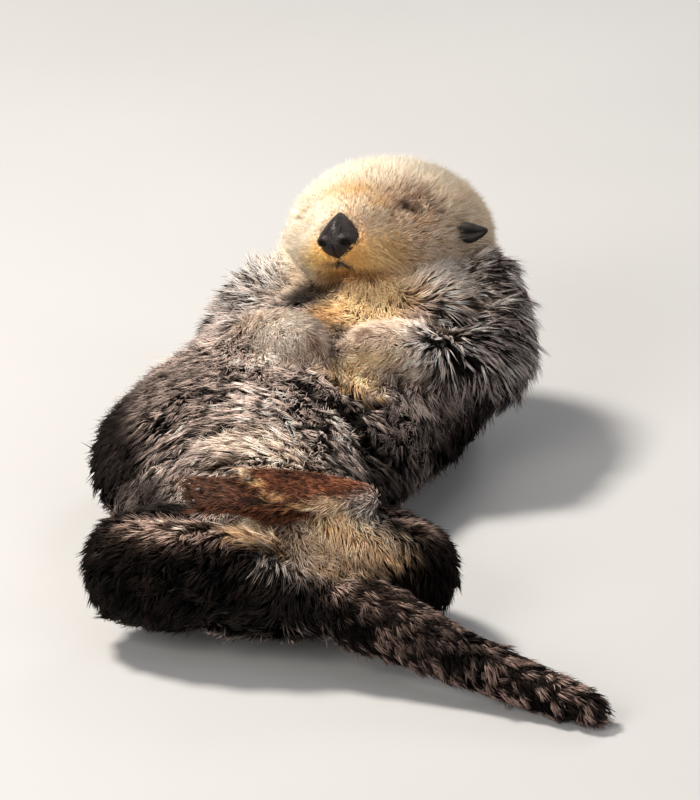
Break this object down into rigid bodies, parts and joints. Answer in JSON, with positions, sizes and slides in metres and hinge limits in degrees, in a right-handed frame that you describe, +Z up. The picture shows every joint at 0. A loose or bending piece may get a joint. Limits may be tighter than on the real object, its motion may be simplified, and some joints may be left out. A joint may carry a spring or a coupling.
{
  "type": "sea otter asleep on its back",
  "caption": "Life-size still model of a sea otter asleep on its back, with its paws on its chest and its webbed hind feet folded over its belly.",
  "frame": {"origin": "on the flat of the back that lies on the floor, at the middle of the trunk's length and under its spine's left side", "axes": "+Z up through the belly, +Y towards the head, +X towards the animal's left side"},
  "size_m": [0.5392, 0.7928, 0.2722],
  "materials": {
    "cream_fur": "dense dry cream fur, golden round the muzzle",
    "throat_fur": "dense yellow-cream fur of the throat",
    "body_fur": "dense dark brown fur with pale grizzled tips, damp",
    "tail_fur": "dark brown wet fur in pointed locks with tan tips",
    "arm_fur": "dark brown wet fur in long locks with pale tips",
    "paw_fur": "short pale cream fur",
    "leg_fur": "near-black wet fur with some tan tips",
    "foot_skin": "reddish brown short-furred webbed skin",
    "nose_skin": "near-black pebbled damp skin",
    "lid_skin": "dark brown bare skin of the closed lids",
    "ear_fur": "very short dark brown fur"
  },
  "bodies": {
    "root": {"head": "cream_fur", "neck": "throat_fur", "trunk": "body_fur", "tail": "tail_fur", "foreleg_L": "arm_fur", "foreleg_R": "arm_fur", "forepaw_L": "paw_fur", "forepaw_R": "paw_fur", "hind_leg_L": "leg_fur", "hind_leg_R": "leg_fur", "hind_foot_L": "foot_skin", "hind_foot_R": "foot_skin", "nose": "nose_skin", "eyelid_L": "lid_skin", "eyelid_R": "lid_skin", "ear_L": "ear_fur", "ear_R": "ear_fur"}
  },
  "joints": []
}
